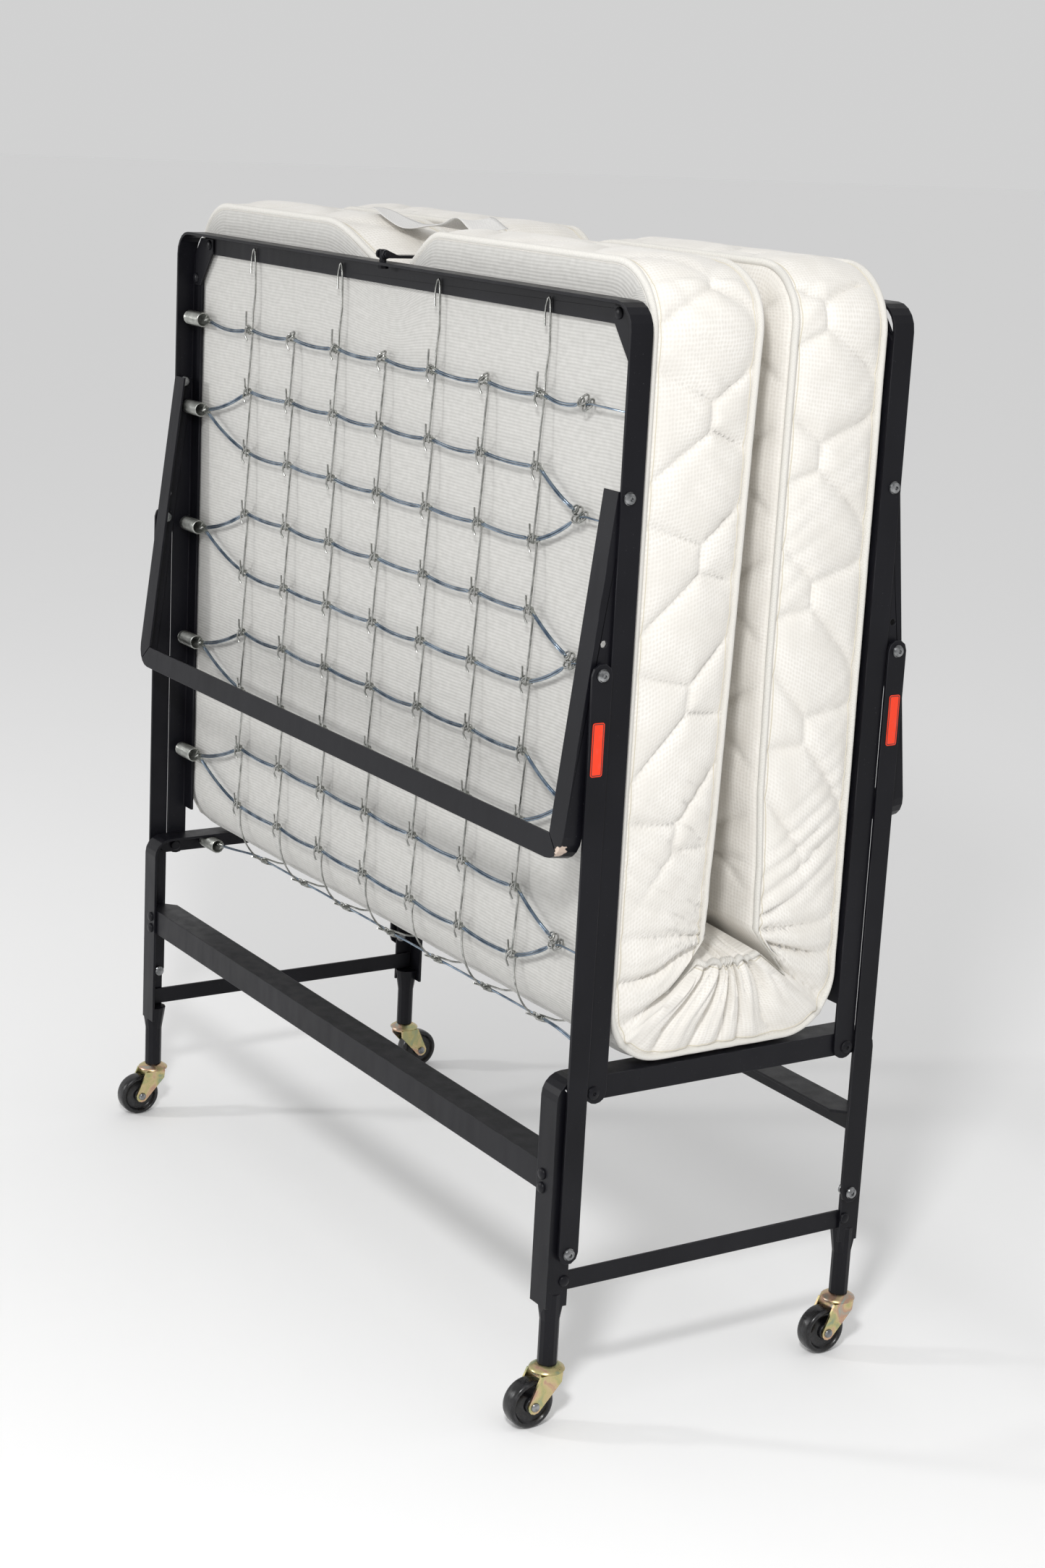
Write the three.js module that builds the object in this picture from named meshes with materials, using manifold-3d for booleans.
// Folding cot on four casters, in its folded state. Millimetres, +Z up.
// X is the bed's width and Y its length when open. The origin is on the floor,
// in the middle of the footprint. The near half of the bed is at -Y, the far half at +Y,
// and the far half is the near half turned by 180 degrees about Z.
import * as THREE from 'three';
import { mergeVertices } from 'three/addons/utils/BufferGeometryUtils.js';
import Module from 'manifold-3d';

const wasm = await Module();
wasm.setup();

// ---- Driving dimensions ----
const PLATE = 3;                      // thickness of the angle iron and flat bars
const PLAY = 0.4;                     // gap between plates that slide on each other
const CLEAR = 0.3;                    // gap between pieces that touch
const SMOOTHING = 0.004;              // largest shape error allowed when points are merged
const LOOSE = 0.8;                    // extra gap round the bolt at the open pivot

// Outer faces, along X, of the three layers of plates at each side of the cot
const FRAME_X = 489;                  // base side frames and leg frames
const DECK_X = FRAME_X + PLAY + PLATE;
const LINK_X = DECK_X + PLAY + PLATE;

// The four pivots of each half form a parallelogram
const DECK_PIVOT = { y: 162, z: 359 };
const LINK_OFFSET = { y: 20.6, z: 169 };   // from a deck pivot out and down to its link pivot
const FOLD_ARM = 598;                      // from the deck pivot to the leg pivot
const LINK_PIVOT = { y: DECK_PIVOT.y + LINK_OFFSET.y, z: DECK_PIVOT.z - LINK_OFFSET.z };
const LEG_PIVOT = { y: DECK_PIVOT.y, z: DECK_PIVOT.z + FOLD_ARM };
const BOLT_RADIUS = 3.5;
const HOLE_RADIUS = BOLT_RADIUS + CLEAR;

// Base side frame: an inverted U of angle iron with tube feet
const BASE_HALF = 202;                // outer half depth along Y
const BASE_TOP = 375;
const BASE_RADIUS = 22;
const BASE_WEB = 30;
const BASE_FLANGE = 25;
const ANGLE_END = 130;                // height where the angle iron is swaged into the tube
const NECK = { top: 144, bottom: 115, radius: 15 };
const TUBE = { x: 480, y: 190.5, radius: 10.5, bore: 8, bottom: 66, boreTop: 106 };

const BRACE = { bottom: 146, height: 20, rivetY: 182, rivetZ: 158 };
const CROSS = { bottom: 250, height: 31, depth: 35, rivetX: 469, rivetZ: [256, 271], bevel: 14 };
const RIVET_RADIUS = 3;
const RIVET_HEAD = 5.5;
const RIVET_DOME = 2.2;
const SMALL_ROUND = 8;                // sides of a bolt, rivet or small hole
const LARGE_ROUND = 12;               // sides of a tube, cap or fork crown

// Deck frame: a U of angle iron, open at the bottom
const DECK_TOP = 1140;
const DECK_OUTER = 171;               // distance of the deck's outer edge from the middle plane
const DECK_WEB = 25;
const DECK_FLANGE = 25;
const DECK_RADIUS = 28;
const DECK_FLANGE_START = 409;        // the flange stops here to clear the base when open
const DECK_END = 347;
const DECK_BACK = DECK_OUTER - DECK_WEB;   // mattress side of the deck frame

// Leg frame: a U of lighter angle iron, in its own upright frame below the leg pivot
const LEG = { half: 11, top: 5, length: 358.3, flange: 25, radius: 26, plate: 2.5 };
const LEG_TILT = Math.atan2(LINK_OFFSET.y, LINK_OFFSET.z);
const LINK_ARM = Math.hypot(LINK_OFFSET.y, LINK_OFFSET.z);
const SPARE_HOLE = 141;               // spare bolt hole, measured down the leg from its pivot

const LINK_HALF = 11.5;

// Casters
const WHEEL = { radius: 26, half: 10, trail: 21, bore: 4.3, sides: 24 };
const FORK = { half: 14.5, plate: 2.5, top: 58.5, crown: 16 };

// Latch on the middle of the near end bar
const LATCH = { y: 160, z: 1148, half: 8, plate: 3, reach: 176, post: 4, pin: 2.2 };

// Link spring fabric
const FABRIC = { columns: 7, columnPitch: 107, rows: 9, rowPitch: 73, topRow: 1036, wire: 2.5 };
const COIL = { radius: 8.25, from: 442, to: 480, hook: 4, sides: 6 };
const BASE_ROW_Z = 372.3;

// Mattress
const PAD_HALF_X = 482;
const PAD_TOP = 1180;
const PAD_INNER = 14;
const PAD_SPLIT = 515;                // height where the slabs meet the middle block
const PAD_CORNER = 60;
const PAD_NOTCH = { half: 90, floor: 16, bottom: 1124 };   // in the ends of the slabs, for the latch

// ---- Materials ----
function material(color, roughness, metalness) {
  return new THREE.MeshStandardMaterial({ color, roughness, metalness, flatShading: true });
}
const BLACK_PAINT = material(0x15161a, 0.4, 0.3);
const ZINC = material(0xb9bcc0, 0.35, 0.9);
const YELLOW_ZINC = material(0xb3a060, 0.35, 0.9);
const WHEEL_BLACK = material(0x0d0d0e, 0.3, 0);
const SPRING_WIRE = material(0x9fa9b5, 0.35, 0.9);
const WHITE_FABRIC = material(0xe9e6df, 0.9, 0);

// ---- Shapes and solids ----
const rad = THREE.MathUtils.degToRad;

// Points of an arc about (u, v), from one angle to the other, in degrees.
function arc(u, v, radius, from, to, steps = 5) {
  return Array.from({ length: steps + 1 }, (_, i) => {
    const angle = rad(from + (to - from) * i / steps);
    return [u + radius * Math.cos(angle), v + radius * Math.sin(angle)];
  });
}

function outline(points) {
  return new THREE.Shape(points.map(([u, v]) => new THREE.Vector2(u, v)));
}

function disc(u, v, radius, sides = SMALL_ROUND) {
  return outline(arc(u, v, radius, 0, 360 - 360 / sides, sides - 1));
}

function rectangle(u0, v0, u1, v1) {
  return outline([[u0, v0], [u1, v0], [u1, v1], [u0, v1]]);
}

// A band of even width that runs up, across and down again, open at the bottom.
function archBand(half, bottom, top, radius, width) {
  const centre = half - radius;
  const innerRadius = radius - width;
  const innerRight = innerRadius > 0.5
    ? arc(centre, top - radius, innerRadius, 0, 90)
    : [[half - width, top - width]];
  const innerLeft = innerRight.map(([u, v]) => [-u, v]).reverse();
  return outline([
    [-half, bottom],
    ...arc(-centre, top - radius, radius, 180, 90),
    ...arc(centre, top - radius, radius, 90, 0),
    [half, bottom],
    [half - width, bottom],
    ...innerRight,
    ...innerLeft,
    [-half + width, bottom],
  ]);
}

// A strip of even width between two points.
function strip(u0, v0, u1, v1, width) {
  const length = Math.hypot(u1 - u0, v1 - v0);
  const du = -(v1 - v0) / length * width / 2;
  const dv = (u1 - u0) / length * width / 2;
  return outline([[u0 + du, v0 + dv], [u0 - du, v0 - dv], [u1 - du, v1 - dv], [u1 + du, v1 + dv]]);
}

// The narrow slits where a band's flange was notched so that its corners could be bent.
function mitreSlits(half, top, width) {
  const start = width + 2;
  const stop = PLATE + 4;
  return [-1, 1].map((side) => (
    strip(side * (half - start), top - start, side * (half - stop), top - stop, 1.5)
  ));
}

// Points are snapped to a micron, so that faces meant to lie in one plane do so exactly.
function manifoldFrom(geometry) {
  const bare = geometry.clone();
  bare.deleteAttribute('normal');
  bare.deleteAttribute('uv');
  const { array } = bare.attributes.position;
  array.forEach((value, i) => {
    array[i] = Math.round(value * 1000) / 1000;
  });
  const merged = mergeVertices(bare, 1e-4);
  return new wasm.Manifold(new wasm.Mesh({
    numProp: 3,
    vertProperties: new Float32Array(merged.attributes.position.array),
    triVerts: new Uint32Array(merged.index.array),
  }));
}

// An outline extruded along an axis. Its u and v are Y and Z for 'x', X and Z for 'y', X and Y for 'z'.
function bar(shape, axis, from, to) {
  const geometry = new THREE.ExtrudeGeometry(shape, { depth: to - from, bevelEnabled: false });
  const [x, y, z] = [new THREE.Vector3(1, 0, 0), new THREE.Vector3(0, 1, 0), new THREE.Vector3(0, 0, 1)];
  const turn = new THREE.Matrix4();
  if (axis === 'x') turn.makeBasis(y, z, x).setPosition(from, 0, 0);
  if (axis === 'y') turn.makeBasis(x, z, y.clone().negate()).setPosition(0, to, 0);
  if (axis === 'z') turn.setPosition(0, 0, from);
  return manifoldFrom(geometry.applyMatrix4(turn));
}

// A body of revolution about an upright line from its half profile of [radius, height] points.
function turned(profile, sides = LARGE_ROUND, x = 0, y = 0) {
  const points = profile.map(([radius, height]) => new THREE.Vector2(radius, height));
  return manifoldFrom(new THREE.LatheGeometry(points, sides).rotateX(Math.PI / 2).translate(x, y, 0));
}

// The same about X, as a plain geometry, from [radius, distance] points.
function spun(profile, sides = SMALL_ROUND) {
  const points = profile.map(([radius, x]) => new THREE.Vector2(radius, x));
  return new THREE.LatheGeometry(points, sides).rotateZ(-Math.PI / 2);
}

function joined(solids) {
  return solids.reduce((whole, solid) => whole.add(solid));
}

function cut(solid, tools) {
  return tools.reduce((rest, tool) => rest.subtract(tool), solid);
}

// The finished solid as a geometry, with the needless points left by its joins and cuts removed.
function geometryFrom(solid) {
  const { numProp, vertProperties, triVerts } = solid.asOriginal().simplify(SMOOTHING).getMesh();
  const positions = new Float32Array(vertProperties.length / numProp * 3);
  for (let i = 0; i < positions.length / 3; i += 1) {
    positions.set(vertProperties.subarray(i * numProp, i * numProp + 3), i * 3);
  }
  const geometry = new THREE.BufferGeometry();
  geometry.setAttribute('position', new THREE.BufferAttribute(positions, 3));
  geometry.setIndex(new THREE.BufferAttribute(new Uint32Array(triVerts), 1));
  geometry.computeVertexNormals();
  return geometry;
}

function piece(name, geometry, look, parent) {
  const mesh = new THREE.Mesh(geometry, look);
  mesh.name = name;
  parent.add(mesh);
  return mesh;
}

// ---- Base ----
// A rivet along an axis: a shank from inside to the head, which faces outwards.
function rivet(axis, u, v, inner, face, outwards) {
  const low = Math.min(inner, face);
  const high = Math.max(inner, face);
  const shank = bar(disc(u, v, RIVET_RADIUS), axis, low - 0.1, high + 0.1);
  const head = outwards > 0 ? [face, face + RIVET_DOME] : [face - RIVET_DOME, face];
  return shank.add(bar(disc(u, v, RIVET_HEAD), axis, ...head));
}

function baseSideFrame() {
  const webBand = archBand(BASE_HALF, ANGLE_END, BASE_TOP, BASE_RADIUS, PLATE);
  const web = bar(webBand, 'x', FRAME_X - BASE_WEB, FRAME_X);
  const mitres = mitreSlits(BASE_HALF, BASE_TOP, BASE_FLANGE)
    .map((slit) => bar(slit, 'x', FRAME_X - PLATE - 1, FRAME_X + 1));
  const flangeBand = archBand(BASE_HALF, ANGLE_END, BASE_TOP, BASE_RADIUS, BASE_FLANGE);
  const flange = cut(bar(flangeBand, 'x', FRAME_X - PLATE, FRAME_X), mitres);
  const feet = [-1, 1].map((side) => {
    const at = (shape, from, to) => bar(shape, 'z', from, to);
    const tube = at(disc(TUBE.x, side * TUBE.y, TUBE.radius, LARGE_ROUND), TUBE.bottom, NECK.top);
    const profile = [[0, NECK.bottom], [TUBE.radius, NECK.bottom], [NECK.radius, NECK.top], [0, NECK.top]];
    const cone = turned(profile, LARGE_ROUND, TUBE.x, side * TUBE.y);
    const [low, high] = side > 0 ? [150, BASE_HALF] : [-BASE_HALF, -150];
    const limit = rectangle(FRAME_X - BASE_WEB, low, FRAME_X, high);
    return tube.add(cone.intersect(at(limit, NECK.bottom - 1, NECK.top + 1)));
  });
  const drills = [-1, 1].flatMap((side) => [
    bar(disc(side * DECK_PIVOT.y, DECK_PIVOT.z, HOLE_RADIUS), 'x', FRAME_X - 9, FRAME_X + 9),
    bar(disc(side * LINK_PIVOT.y, LINK_PIVOT.z, HOLE_RADIUS), 'x', FRAME_X - 9, FRAME_X + 9),
    bar(disc(side * BRACE.rivetY, BRACE.rivetZ, RIVET_RADIUS + CLEAR), 'x', FRAME_X - 9, FRAME_X + 9),
    bar(disc(TUBE.x, side * TUBE.y, TUBE.bore, LARGE_ROUND), 'z', TUBE.bottom - 1, TUBE.boreTop),
    ...CROSS.rivetZ.map((z) => {
      const [from, to] = side > 0 ? [BASE_HALF - 9, BASE_HALF + 9] : [-BASE_HALF - 9, -BASE_HALF + 9];
      return bar(disc(CROSS.rivetX, z, RIVET_RADIUS + CLEAR), 'y', from, to);
    }),
  ]);
  return cut(joined([web, flange, ...feet]), drills);
}

function lowerBrace() {
  const half = BASE_HALF - PLATE - CLEAR - 2;
  const inner = FRAME_X - PLATE - CLEAR;
  const side = rectangle(-half, BRACE.bottom, half, BRACE.bottom + BRACE.height);
  const flat = bar(side, 'x', inner - PLATE, inner);
  const rivets = [-1, 1].map((end) => (
    rivet('x', end * BRACE.rivetY, BRACE.rivetZ, inner - 1, FRAME_X + CLEAR, 1)
  ));
  return joined([flat, ...rivets]);
}

function crossBar() {
  const half = FRAME_X - PLATE - CLEAR;
  const outer = -(BASE_HALF - PLATE - CLEAR);
  const top = CROSS.bottom + CROSS.height;
  const upright = bar(rectangle(-half, CROSS.bottom, half, top), 'y', outer, outer + PLATE);
  const shelf = bar(outline([
    [-half, outer], [half, outer], [half, outer + CROSS.depth - CROSS.bevel],
    [half - CROSS.bevel, outer + CROSS.depth], [-half + CROSS.bevel, outer + CROSS.depth],
    [-half, outer + CROSS.depth - CROSS.bevel],
  ]), 'z', top - PLATE, top);
  const rivets = [-1, 1].flatMap((side) => CROSS.rivetZ.map((z) => (
    rivet('y', side * CROSS.rivetX, z, outer + 1, -BASE_HALF - CLEAR, -1)
  )));
  return joined([upright, shelf, ...rivets]);
}

// ---- Deck, leg frame and links of the near half ----
const GUSSET = {
  front: -(DECK_BACK + PLATE + CLEAR),
  plate: 2.5,
  points: [[484, 1076], [484, 1110], [466, 1133], [434, 1133], [434, 1118], [467, 1076]],
  rivets: [[477, 1084], [443, 1126]],
};

function deckFrame() {
  const front = -DECK_OUTER;
  const back = -DECK_BACK;
  const webBand = archBand(DECK_X, DECK_END, DECK_TOP, DECK_RADIUS, PLATE);
  const tongue = outline([
    [front, DECK_TOP + 1], ...arc(front + 12, DECK_END + 12, 12, 180, 270, 4),
    ...arc(back - 12, DECK_END + 12, 12, 270, 360, 4), [back, DECK_TOP + 1],
  ]);
  const web = bar(webBand, 'y', front, back).intersect(bar(tongue, 'x', -DECK_X - 1, DECK_X + 1));
  const relief = [-1, 1].map((side) => bar(outline([
    [side * (DECK_X - PLATE), 1104],
    [side * (DECK_X - PLATE), DECK_TOP - PLATE],
    [side * 456, DECK_TOP - PLATE],
    [side * 466, 1130],
    [side * 481, 1112],
  ]), 'y', back - PLATE - 1, back + 1));
  const flangeBand = archBand(DECK_X, DECK_FLANGE_START, DECK_TOP, DECK_RADIUS, DECK_FLANGE);
  const flange = cut(bar(flangeBand, 'y', back - PLATE, back), relief);
  const sideHoles = [DECK_PIVOT.z, LEG_PIVOT.z].map((z) => (
    bar(disc(-DECK_PIVOT.y, z, HOLE_RADIUS), 'x', -DECK_X - 9, DECK_X + 9)
  ));
  const rivetHoles = [-1, 1].flatMap((side) => GUSSET.rivets.map(([x, z]) => (
    bar(disc(side * x, z, RIVET_RADIUS + CLEAR), 'y', back - 9, back + 9)
  )));
  const latchHole = bar(disc(0, -LATCH.y, LATCH.post + CLEAR), 'z', DECK_TOP - 9, DECK_TOP + 9);
  return cut(joined([web, flange]), [...sideHoles, ...rivetHoles, latchHole]);
}

function cornerGusset(side) {
  const shape = outline(GUSSET.points.map(([x, z]) => [side * x, z]));
  const plate = bar(shape, 'y', GUSSET.front - GUSSET.plate, GUSSET.front);
  const face = GUSSET.front - GUSSET.plate + 0.1;
  const rivets = GUSSET.rivets.map(([x, z]) => rivet('y', side * x, z, -DECK_BACK - 0.5, face, -1));
  return joined([plate, ...rivets]);
}

// The leg frame is made upside down about its pivot line, and is turned over where it is placed.
function legFrame() {
  const web = bar(archBand(FRAME_X, -LEG.top, LEG.length, LEG.radius, LEG.plate), 'y', -LEG.half, LEG.half);
  const band = archBand(FRAME_X, -LEG.top, LEG.length, LEG.radius, LEG.flange);
  const mitres = mitreSlits(FRAME_X, LEG.length, LEG.flange)
    .map((slit) => bar(slit, 'y', -LEG.half - 1, LEG.half + 1));
  const flange = cut(bar(band, 'y', LEG.half - LEG.plate, LEG.half), mitres);
  const drills = [[0, HOLE_RADIUS], [SPARE_HOLE, HOLE_RADIUS], [LINK_ARM, HOLE_RADIUS + LOOSE]];
  const holes = drills.map(([z, radius]) => (
    bar(disc(0, z, radius), 'x', -FRAME_X - 9, FRAME_X + 9)
  ));
  return cut(joined([web, flange]), holes);
}

function linkBar() {
  const low = LINK_PIVOT.z;
  const high = LINK_PIVOT.z + FOLD_ARM;
  const y = -LINK_PIVOT.y;
  const plate = bar(outline([
    ...arc(y, low, LINK_HALF, 180, 360), ...arc(y, high, LINK_HALF, 0, 180),
  ]), 'x', -PLATE, 0);
  return cut(plate, [low, high].map((z) => bar(disc(y, z, HOLE_RADIUS), 'x', -9, 9)));
}

// A pivot bolt along X with its head outwards. Its profile steps are [radius, distance from the middle].
// A collar fills the layer of plates that the bolt crosses between the link and the frame.
function pivotBolt(face, head, collar) {
  const inner = FRAME_X - PLATE - CLEAR;
  const steps = [[0, inner - 4], [6, inner - 4], [6, inner], [BOLT_RADIUS, inner]];
  if (collar) {
    const from = FRAME_X + CLEAR;
    const to = LINK_X - PLATE - CLEAR;
    steps.push([BOLT_RADIUS, from], [7, from], [7, to], [BOLT_RADIUS, to]);
  }
  const headEnd = face + head.height;
  steps.push([BOLT_RADIUS, face], [head.radius, face], [head.radius, headEnd], [0, headEnd]);
  return spun(steps);
}

// A pin along X with a head on both ends, from -end to end between the heads.
function headedPin(radius, headRadius, end, head) {
  return spun([
    [0, -end - head], [headRadius, -end - head], [headRadius, -end], [radius, -end],
    [radius, end], [headRadius, end], [headRadius, end + head], [0, end + head],
  ]);
}

// ---- Casters, each about its own stem at the origin ----
function casterStem() {
  return turned([
    [0, 52.8], [5, 52.8], [5, 55.7], [3.5, 55.7], [3.5, 58.8], [18.5, 58.8], [18.5, 61],
    [11, TUBE.bottom - CLEAR], [TUBE.bore - CLEAR, TUBE.bottom - CLEAR], [TUBE.bore - CLEAR, 104], [0, 104],
  ]);
}

function casterFork() {
  const crown = bar(disc(0, 0, FORK.crown, LARGE_ROUND), 'z', FORK.top - FORK.plate, FORK.top);
  const hole = bar(disc(0, 0, 3.8), 'z', FORK.top - 9, FORK.top + 9);
  const cheek = outline([
    [11, FORK.top - 0.5], [-15, FORK.top - 0.5], ...arc(-WHEEL.trail, WHEEL.radius, 8, 170, 330), [10, 48],
  ]);
  const cheeks = [-FORK.half, FORK.half - FORK.plate].map((x) => bar(cheek, 'x', x, x + FORK.plate));
  const axleHole = bar(disc(-WHEEL.trail, WHEEL.radius, 4.3), 'x', -30, 30);
  return cut(joined([crown, ...cheeks]), [hole, axleHole]);
}

function casterAxle() {
  return headedPin(4, 5.2, FORK.half + CLEAR, 1.8).translate(0, -WHEEL.trail, WHEEL.radius);
}

function casterWheel() {
  const { radius, half, bore } = WHEEL;
  const dish = [[bore, half + 1.2], [9, half + 1.2], [radius - 3, half], [radius, half - 2.5]];
  const mirrored = dish.map(([r, x]) => [r, -x]);
  const loop = [...mirrored, ...dish.slice().reverse(), mirrored[0]];
  return spun(loop, WHEEL.sides).translate(0, -WHEEL.trail, radius);
}

// ---- Latch ----
function latchPost() {
  const top = LATCH.z + 4;
  const post = turned([
    [0, DECK_TOP - PLATE - CLEAR - 4], [6.5, DECK_TOP - PLATE - CLEAR - 4], [6.5, DECK_TOP - PLATE - CLEAR],
    [LATCH.post, DECK_TOP - PLATE - CLEAR], [LATCH.post, top], [0, top],
  ], SMALL_ROUND);
  return cut(post, [bar(disc(0, LATCH.z, LATCH.pin + CLEAR), 'x', -9, 9)]);
}

function latchPin() {
  return headedPin(LATCH.pin, 3.6, LATCH.half + CLEAR, 1.5).translate(0, 0, LATCH.z);
}

// The hook is a flat strap with two ears round the post and a lip that rests over the far end bar.
function latchHook() {
  const bottom = LATCH.z - 4;
  const earFront = -LATCH.y + 6;
  const end = LATCH.reach;
  const strap = bar(rectangle(-LATCH.half, earFront, LATCH.half, end), 'z', bottom, bottom + LATCH.plate);
  const lipSide = rectangle(end - LATCH.plate, DECK_TOP + 0.6, end, bottom + 1);
  const lip = bar(lipSide, 'x', -LATCH.half, LATCH.half);
  const ear = outline([
    [earFront + 9, bottom], [earFront + 9, bottom + LATCH.plate], ...arc(-LATCH.y, LATCH.z, 5, 45, 270),
    [-LATCH.y + 3, bottom],
  ]);
  const ears = [-LATCH.half, LATCH.half - 2.5].map((x) => bar(ear, 'x', x, x + 2.5));
  const hole = bar(disc(-LATCH.y, LATCH.z, LATCH.pin + CLEAR), 'x', -20, 20);
  return cut(joined([strap, lip, ...ears]), [hole]);
}

// ---- Link spring fabric ----
const columnsX = Array.from({ length: FABRIC.columns }, (_, i) => (
  (i - (FABRIC.columns - 1) / 2) * FABRIC.columnPitch
));
const edgeX = columnsX.at(-1);
const rowsZ = Array.from({ length: FABRIC.rows }, (_, j) => FABRIC.topRow - j * FABRIC.rowPitch);

// A slanted wire from the end of a row to the hook of its coil spring.
function branch(side, row, middle) {
  return strip(side * edgeX, row, side * (COIL.from + COIL.hook / 2), middle, FABRIC.wire);
}

// The hooked end of a coil spring, where the wires of its rows meet.
function hookEnd(side, middle) {
  const [from, to] = [side * COIL.from, side * (COIL.from + COIL.hook)].sort((a, b) => a - b);
  return rectangle(from, middle - COIL.hook / 2, to, middle + COIL.hook / 2);
}

function coilSpan(side) {
  return [side * COIL.from, side * COIL.to].sort((a, b) => a - b);
}

// One half's fabric hangs in front of the mattress, with coil springs in the trough of the deck rails.
function halfFabric() {
  const back = -DECK_BACK - 0.2;
  const front = back - FABRIC.wire;
  const wires = (shape) => bar(shape, 'y', front, back);
  const flangeEdge = DECK_TOP - DECK_FLANGE - 0.5;
  const rows = rowsZ.map((z) => wires(strip(-edgeX, z, edgeX, z, FABRIC.wire)));
  const columns = columnsX.map((x, i) => {
    const top = i % 2 === 0 ? flangeEdge : FABRIC.topRow;
    return wires(strip(x, 400, x, top, FABRIC.wire));
  });
  // The top row has its own springs, and each later spring holds a pair of rows.
  const springs = [[rowsZ[0]]];
  for (let j = 1; j + 1 < rowsZ.length; j += 2) springs.push([rowsZ[j], rowsZ[j + 1]]);
  const coilY = -DECK_BACK - PLATE - COIL.radius - CLEAR;
  const ends = springs.flatMap((pair) => {
    const middle = pair.reduce((sum, z) => sum + z, 0) / pair.length;
    return [-1, 1].flatMap((side) => [
      ...pair.map((z) => wires(branch(side, z, middle))),
      bar(hookEnd(side, middle), 'y', coilY, back),
      bar(disc(coilY, middle, COIL.radius, COIL.sides), 'x', ...coilSpan(side)),
    ]);
  });
  return joined([...rows, ...columns, ...ends]);
}

// The middle of the fabric lies flat under the mattress, sprung to the base rails.
function middleFabric() {
  const top = BASE_ROW_Z + FABRIC.wire;
  const wires = (shape) => bar(shape, 'z', BASE_ROW_Z, top);
  const pitch = FABRIC.rowPitch;
  const rowsY = [-1.5, -0.5, 0.5, 1.5].map((step) => step * pitch);
  const rows = rowsY.map((y) => wires(strip(-edgeX, y, edgeX, y, FABRIC.wire)));
  const columns = columnsX.map((x) => wires(strip(x, -135, x, 135, FABRIC.wire)));
  const coilZ = BASE_TOP - PLATE - COIL.radius - CLEAR;
  const groups = [[[rowsY[0]], -122], [[rowsY[1], rowsY[2]], 0], [[rowsY[3]], 122]];
  const ends = groups.flatMap(([rowsHeld, y]) => [-1, 1].flatMap((side) => [
    ...rowsHeld.map((row) => wires(branch(side, row, y))),
    bar(hookEnd(side, y), 'z', coilZ, top),
    bar(disc(y, coilZ, COIL.radius, COIL.sides), 'x', ...coilSpan(side)),
  ]));
  return joined([...rows, ...columns, ...ends]);
}

// ---- Mattress, as two upright slabs and the block across the base ----
function mattressSlab() {
  const half = PAD_HALF_X;
  const corner = PAD_CORNER;
  return bar(outline([
    [-half, PAD_SPLIT], [half, PAD_SPLIT],
    ...arc(half - corner, PAD_TOP - corner, corner, 0, 90, 8),
    [PAD_NOTCH.half, PAD_TOP], [PAD_NOTCH.floor, PAD_NOTCH.bottom],
    [-PAD_NOTCH.floor, PAD_NOTCH.bottom], [-PAD_NOTCH.half, PAD_TOP],
    ...arc(-half + corner, PAD_TOP - corner, corner, 90, 180, 8),
  ]), 'y', -DECK_BACK + 0.4, -PAD_INNER);
}

function mattressMiddle() {
  const low = BASE_TOP + 1;
  const high = PAD_SPLIT - 10;
  const half = 140;
  const round = 40;
  return bar(outline([
    ...arc(-half + round, low + round, round, 180, 270), ...arc(half - round, low + round, round, 270, 360),
    [half, high], [-half, high],
  ]), 'x', -PAD_HALF_X, PAD_HALF_X);
}

// ---- Assembly ----
const cot = new THREE.Group();
const baseSide = geometryFrom(baseSideFrame());
const brace = geometryFrom(lowerBrace());
const cross = geometryFrom(crossBar());
for (const [side, end, turn] of [['right', 'front', 0], ['left', 'rear', Math.PI]]) {
  const half = new THREE.Group();
  half.rotation.z = turn;
  cot.add(half);
  piece(`base_side_frame_${side}`, baseSide, BLACK_PAINT, half);
  piece(`lower_brace_${side}`, brace, BLACK_PAINT, half);
  piece(`cross_bar_${end}`, cross, BLACK_PAINT, half);
}

const deck = geometryFrom(deckFrame());
const leg = geometryFrom(legFrame());
const link = geometryFrom(linkBar());
const slab = geometryFrom(mattressSlab());
const fabric = geometryFrom(halfFabric());
const blackHead = { radius: 6, height: 2.6 };
const zincHead = { radius: 6.2, height: 4.4 };
const LINK_TOP = { y: LINK_PIVOT.y, z: LINK_PIVOT.z + FOLD_ARM };
const BOLTS = [
  ['deck_pivot_bolt', DECK_PIVOT, pivotBolt(DECK_X + CLEAR, blackHead, false), BLACK_PAINT],
  ['leg_pivot_bolt', LEG_PIVOT, pivotBolt(DECK_X + CLEAR, zincHead, false), ZINC],
  ['link_base_bolt', LINK_PIVOT, pivotBolt(LINK_X + CLEAR, zincHead, true), ZINC],
  ['link_leg_bolt', LINK_TOP, pivotBolt(LINK_X + CLEAR, zincHead, true), ZINC],
];
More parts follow.
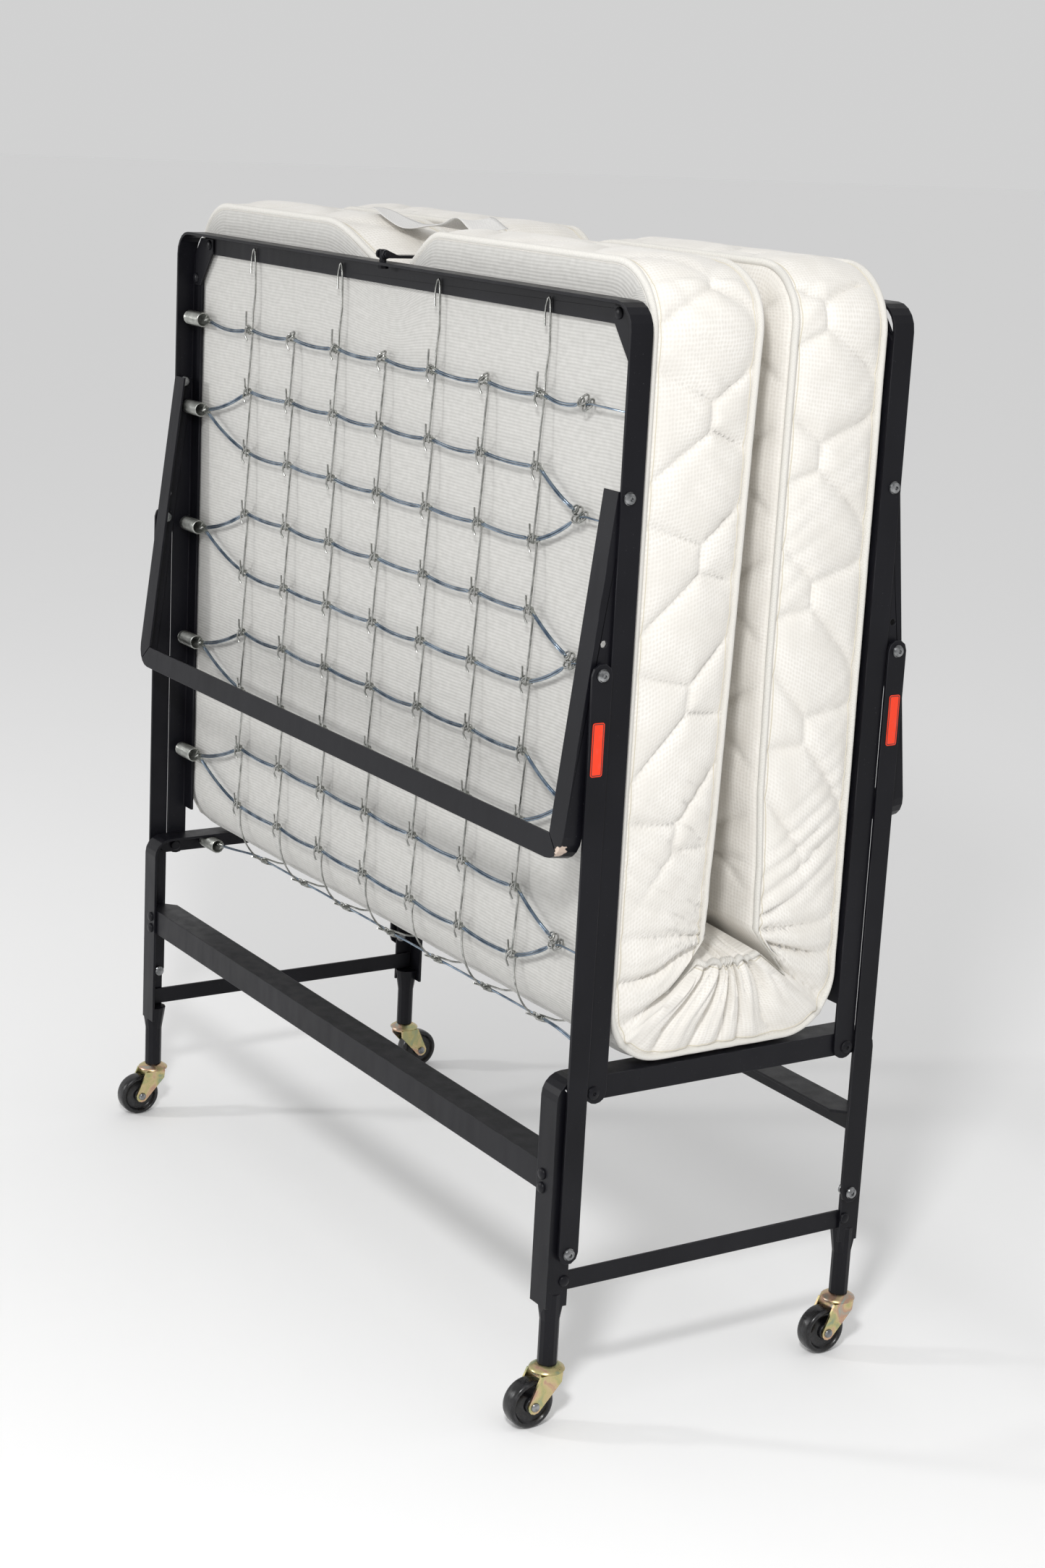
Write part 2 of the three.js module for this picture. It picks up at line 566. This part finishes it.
for (const [end, turn] of [['near', 0], ['far', Math.PI]]) {
  const half = new THREE.Group();
  half.rotation.z = turn;
  cot.add(half);
  piece(`deck_frame_${end}`, deck, BLACK_PAINT, half);
  const legMesh = piece(`leg_frame_${end}`, leg, BLACK_PAINT, half);
  legMesh.position.set(0, -LEG_PIVOT.y, LEG_PIVOT.z);
  legMesh.rotation.x = Math.PI - LEG_TILT;
  piece(`mattress_${end}`, slab, WHITE_FABRIC, half);
  piece(`spring_fabric_${end}`, fabric, SPRING_WIRE, half);
  for (const side of [1, -1]) {
    const hand = (side > 0) === (end === 'near') ? 'right' : 'left';
    piece(`corner_gusset_${end}_${hand}`, geometryFrom(cornerGusset(side)), BLACK_PAINT, half);
    const linkMesh = piece(`link_bar_${end}_${hand}`, link, BLACK_PAINT, half);
    linkMesh.position.x = side > 0 ? LINK_X : -LINK_X + PLATE;
    for (const [kind, pivot, geometry, look] of BOLTS) {
      const bolt = piece(`${kind}_${end}_${hand}`, geometry, look, half);
      bolt.position.set(0, -pivot.y, pivot.z);
      bolt.rotation.z = side > 0 ? 0 : Math.PI;
    }
  }
}

const stem = geometryFrom(casterStem());
const fork = geometryFrom(casterFork());
const axle = casterAxle();
const wheel = casterWheel();
// All casters trail towards -Y, apart from the far left one.
for (const [end, y] of [['near', -1], ['far', 1]]) {
  for (const [hand, x] of [['right', 1], ['left', -1]]) {
    const caster = new THREE.Group();
    caster.position.set(x * TUBE.x, y * TUBE.y, 0);
    caster.rotation.z = end === 'far' && hand === 'left' ? Math.PI : 0;
    cot.add(caster);
    piece(`caster_stem_${end}_${hand}`, stem, YELLOW_ZINC, caster);
    piece(`caster_fork_${end}_${hand}`, fork, YELLOW_ZINC, caster);
    piece(`caster_axle_${end}_${hand}`, axle, ZINC, caster);
    piece(`caster_wheel_${end}_${hand}`, wheel, WHEEL_BLACK, caster);
  }
}

const post = piece('latch_post', geometryFrom(latchPost()), ZINC, cot);
post.position.y = -LATCH.y;
const pin = piece('latch_pin', latchPin(), ZINC, cot);
pin.position.y = -LATCH.y;
piece('latch_hook', geometryFrom(latchHook()), BLACK_PAINT, cot);
piece('mattress_middle', geometryFrom(mattressMiddle()), WHITE_FABRIC, cot);
piece('spring_fabric_middle', geometryFrom(middleFabric()), SPRING_WIRE, cot);

export default cot;
